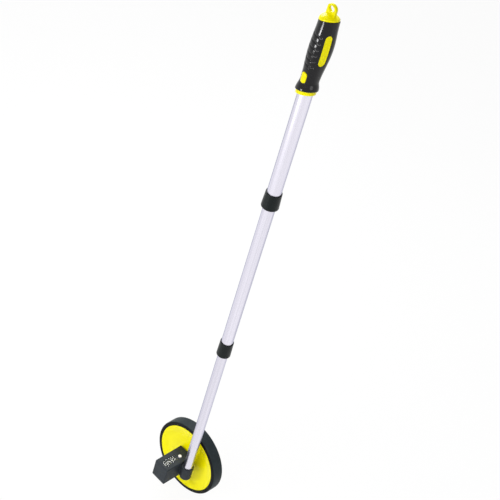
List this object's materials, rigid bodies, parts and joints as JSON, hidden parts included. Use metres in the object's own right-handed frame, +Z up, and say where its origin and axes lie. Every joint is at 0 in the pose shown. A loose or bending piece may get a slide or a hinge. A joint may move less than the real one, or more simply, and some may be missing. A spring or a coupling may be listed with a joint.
{
  "type": "measuring wheel",
  "caption": "Walking distance measurer: a rubber-tyred wheel beside a box with a mechanical counter, on a telescopic pole with twist-lock collars, a contoured grip and a hang loop.",
  "frame": {"origin": "centre of the hang loop's hole, on the pole's axis", "axes": "+Z up along the pole, from the wheel to the handle; +Y along the axle, from the counter box to the wheel; +X towards the person who reads the counter"},
  "size_m": [0.1592, 0.1052, 1.1942],
  "materials": {
    "yellow_plastic": "glossy moulded plastic, lemon yellow",
    "grip_rubber": "satin soft black grip",
    "tyre_rubber": "smooth black tyre with a bluish sheen",
    "collar_plastic": "satin black moulded plastic",
    "casing_plastic": "charcoal moulded plastic, fine grain",
    "tube_aluminium": "silver anodised, smooth",
    "bright_steel": "plated",
    "gear_brass": "machined",
    "works_plastic": "white moulded plastic",
    "drum_plastic": "matt black with plain digits",
    "lens_plastic": "clear"
  },
  "bodies": {
    "handle_section": {"end_cap": "yellow_plastic", "handle_core": "yellow_plastic", "grip_sleeve": "grip_rubber", "upper_tube": "tube_aluminium", "upper_collet": "works_plastic"},
    "upper_lock": {"upper_collar": "collar_plastic"},
    "middle_section": {"middle_tube": "tube_aluminium", "middle_guide_bush": "works_plastic", "lower_collet": "works_plastic"},
    "lower_lock": {"lower_collar": "collar_plastic"},
    "lower_section": {"lower_tube": "tube_aluminium", "lower_guide_bush": "works_plastic", "tube_foot_plug": "works_plastic", "tube_screw": "bright_steel", "counter_body": "casing_plastic", "counter_cover": "casing_plastic", "window_lens": "lens_plastic", "cover_screw_1": "bright_steel", "cover_screw_2": "bright_steel", "cover_screw_3": "bright_steel", "cover_screw_4": "bright_steel", "left_frame_plate": "bright_steel", "right_frame_plate": "bright_steel", "drum_shaft": "bright_steel", "pinion_shaft": "bright_steel", "cover_bush": "gear_brass", "plate_bush": "gear_brass", "reset_spring": "bright_steel"},
    "wheel": {"tyre": "tyre_rubber", "wheel_disc": "yellow_plastic", "axle": "bright_steel", "axle_washer": "bright_steel", "axle_nut": "bright_steel", "drive_gear": "gear_brass"},
    "counting_drum_1": {"drum_1": "drum_plastic"},
    "counting_drum_2": {"drum_2": "drum_plastic"},
    "counting_drum_3": {"drum_3": "drum_plastic"},
    "counting_drum_4": {"drum_4": "drum_plastic"},
    "counting_drum_5": {"drum_5": "drum_plastic"},
    "carry_pinion_1": {"pinion_1": "gear_brass"},
    "carry_pinion_2": {"pinion_2": "gear_brass"},
    "carry_pinion_3": {"pinion_3": "gear_brass"},
    "carry_pinion_4": {"pinion_4": "gear_brass"},
    "button": {"reset_button": "works_plastic"}
  },
  "joints": [
    {"name": "middle_slide", "type": "slide", "parent": "handle_section", "child": "middle_section", "axis": [0, 0, 1], "range_m": [0, 0.289]},
    {"name": "lower_slide", "type": "slide", "parent": "middle_section", "child": "lower_section", "axis": [0, 0, 1], "range_m": [0, 0.325]},
    {"name": "upper_collar_twist", "type": "hinge", "parent": "handle_section", "child": "upper_lock", "pos_m": [0, 0, -0.379], "axis": [0, 0, 1], "range_deg": [0, 90]},
    {"name": "lower_collar_twist", "type": "hinge", "parent": "middle_section", "child": "lower_lock", "pos_m": [0, 0, -0.7403], "axis": [0, 0, 1], "range_deg": [0, 90]},
    {"name": "wheel_spin", "type": "hinge", "parent": "lower_section", "child": "wheel", "pos_m": [-0.0265, 0.0355, -1.1048], "axis": [0, 1, 0], "continuous": true},
    {"name": "drum_1_spin", "type": "hinge", "parent": "lower_section", "child": "counting_drum_1", "pos_m": [-0.028, -0.0098, -1.0958], "axis": [0, 1, 0], "continuous": true},
    {"name": "drum_2_spin", "type": "hinge", "parent": "lower_section", "child": "counting_drum_2", "pos_m": [-0.028, -0.0164, -1.0958], "axis": [0, 1, 0], "continuous": true},
    {"name": "drum_3_spin", "type": "hinge", "parent": "lower_section", "child": "counting_drum_3", "pos_m": [-0.028, -0.023, -1.0958], "axis": [0, 1, 0], "continuous": true},
    {"name": "drum_4_spin", "type": "hinge", "parent": "lower_section", "child": "counting_drum_4", "pos_m": [-0.028, -0.0296, -1.0958], "axis": [0, 1, 0], "continuous": true},
    {"name": "drum_5_spin", "type": "hinge", "parent": "lower_section", "child": "counting_drum_5", "pos_m": [-0.028, -0.0362, -1.0958], "axis": [0, 1, 0], "continuous": true},
    {"name": "pinion_1_spin", "type": "hinge", "parent": "lower_section", "child": "carry_pinion_1", "pos_m": [-0.03632, -0.0142, -1.10412], "axis": [0, 1, 0], "continuous": true},
    {"name": "pinion_2_spin", "type": "hinge", "parent": "lower_section", "child": "carry_pinion_2", "pos_m": [-0.03632, -0.0208, -1.10412], "axis": [0, 1, 0], "continuous": true},
    {"name": "pinion_3_spin", "type": "hinge", "parent": "lower_section", "child": "carry_pinion_3", "pos_m": [-0.03632, -0.0274, -1.10412], "axis": [0, 1, 0], "continuous": true},
    {"name": "pinion_4_spin", "type": "hinge", "parent": "lower_section", "child": "carry_pinion_4", "pos_m": [-0.03632, -0.034, -1.10412], "axis": [0, 1, 0], "continuous": true},
    {"name": "button_press", "type": "slide", "parent": "lower_section", "child": "button", "axis": [0, 0, -1], "range_m": [0, 0.0015], "stiffness_N_per_m": 250, "springref_m": -0.002, "deforming": ["reset_spring"]}
  ],
  "couplings": [
    {"joint": "drum_1_spin", "follows": "wheel_spin", "ratio": -0.5},
    {"joint": "drum_2_spin", "follows": "wheel_spin", "ratio": -0.05},
    {"joint": "drum_3_spin", "follows": "wheel_spin", "ratio": -0.005},
    {"joint": "drum_4_spin", "follows": "wheel_spin", "ratio": -0.0005},
    {"joint": "drum_5_spin", "follows": "wheel_spin", "ratio": -0.00005},
    {"joint": "pinion_1_spin", "follows": "wheel_spin", "ratio": 0.125},
    {"joint": "pinion_2_spin", "follows": "wheel_spin", "ratio": 0.0125},
    {"joint": "pinion_3_spin", "follows": "wheel_spin", "ratio": 0.00125},
    {"joint": "pinion_4_spin", "follows": "wheel_spin", "ratio": 0.000125}
  ]
}
